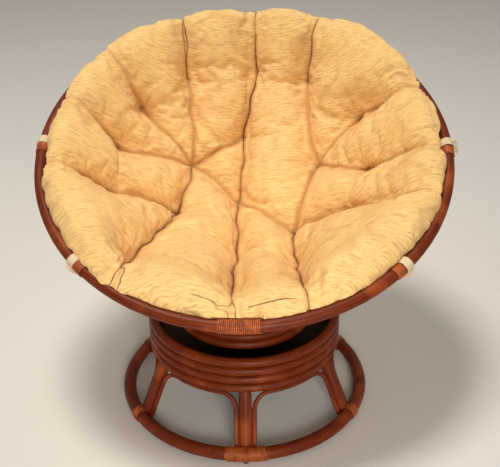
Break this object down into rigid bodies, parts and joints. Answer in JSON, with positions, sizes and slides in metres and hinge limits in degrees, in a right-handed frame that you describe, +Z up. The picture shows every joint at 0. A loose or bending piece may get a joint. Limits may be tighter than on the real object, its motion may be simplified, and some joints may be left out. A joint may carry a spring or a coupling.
{
  "type": "papasan chair",
  "caption": "Round rattan lounge chair: a tilted bowl with a tufted cushion sits on a cradle that rocks and swivels inside a drum of stacked rings on splayed posts.",
  "frame": {"origin": "on the floor, under the middle of the outline box", "axes": "+Z up; the chair faces -Y; +X is to the right of someone who looks at the chair from the front"},
  "size_m": [1.0662, 0.9634, 0.9274],
  "materials": {
    "rattan": "gloss",
    "cane": "satin",
    "cushion_cloth": "matte",
    "tie_cloth": "matte",
    "plywood": "matte",
    "black_steel": "satin",
    "spring_steel": "satin",
    "rubber": "matte"
  },
  "bodies": {
    "base": {"foot_ring": "rattan", "post_1": "rattan", "post_2": "rattan", "post_3": "rattan", "post_4": "rattan", "post_5": "rattan", "post_6": "rattan", "arch_brace_1": "rattan", "arch_brace_2": "rattan", "arch_brace_3": "rattan", "arch_brace_4": "rattan", "arch_brace_5": "rattan", "arch_brace_6": "rattan", "foot_binding_1": "cane", "foot_binding_2": "cane", "foot_binding_3": "cane", "foot_binding_4": "cane", "foot_binding_5": "cane", "foot_binding_6": "cane", "glide_1": "rubber", "glide_2": "rubber", "glide_3": "rubber", "glide_4": "rubber", "glide_5": "rubber", "glide_6": "rubber", "drum_ring_1": "rattan", "drum_ring_2": "rattan", "drum_ring_3": "rattan", "drum_ring_4": "rattan", "mounting_board": "plywood", "base_plate": "black_steel", "swivel_bearing": "black_steel"},
    "turntable": {"turntable_bracket": "black_steel", "pivot_pin": "spring_steel", "spring_front_left": "spring_steel", "spring_front_right": "spring_steel", "spring_rear_left": "spring_steel", "spring_rear_right": "spring_steel"},
    "cradle": {"top_bracket": "black_steel", "cradle_board": "plywood", "cradle_ring_1": "rattan", "cradle_ring_2": "rattan", "cradle_ring_3": "rattan"},
    "bowl": {"rim": "rattan", "rim_splice_binding": "cane", "rib_1": "rattan", "rib_2": "rattan", "rib_3": "rattan", "rib_4": "rattan", "rib_5": "rattan", "rib_6": "rattan", "rib_7": "rattan", "rib_8": "rattan", "mid_ring": "rattan", "bottom_ring": "rattan", "cushion": "cushion_cloth", "cushion_tie_1": "tie_cloth", "cushion_tie_2": "tie_cloth", "cushion_tie_3": "tie_cloth", "cushion_tie_4": "tie_cloth"}
  },
  "joints": [
    {"name": "swivel", "type": "hinge", "parent": "base", "child": "turntable", "pos_m": [0, -0.08184, 0.2], "axis": [0, 0, 1], "continuous": true},
    {"name": "rock", "type": "hinge", "parent": "turntable", "child": "cradle", "pos_m": [0, -0.08184, 0.222], "axis": [1, 0, 0], "range_deg": [-10, 10], "stiffness_Nm_per_rad": 300, "springref_deg": 3.32, "deforming": ["spring_front_left", "spring_front_right", "spring_rear_left", "spring_rear_right"]},
    {"name": "bowl_tilt", "type": "hinge", "parent": "cradle", "child": "bowl", "pos_m": [0, -0.08184, 0.84366], "axis": [1, 0, 0], "range_deg": [-12, 15]}
  ]
}
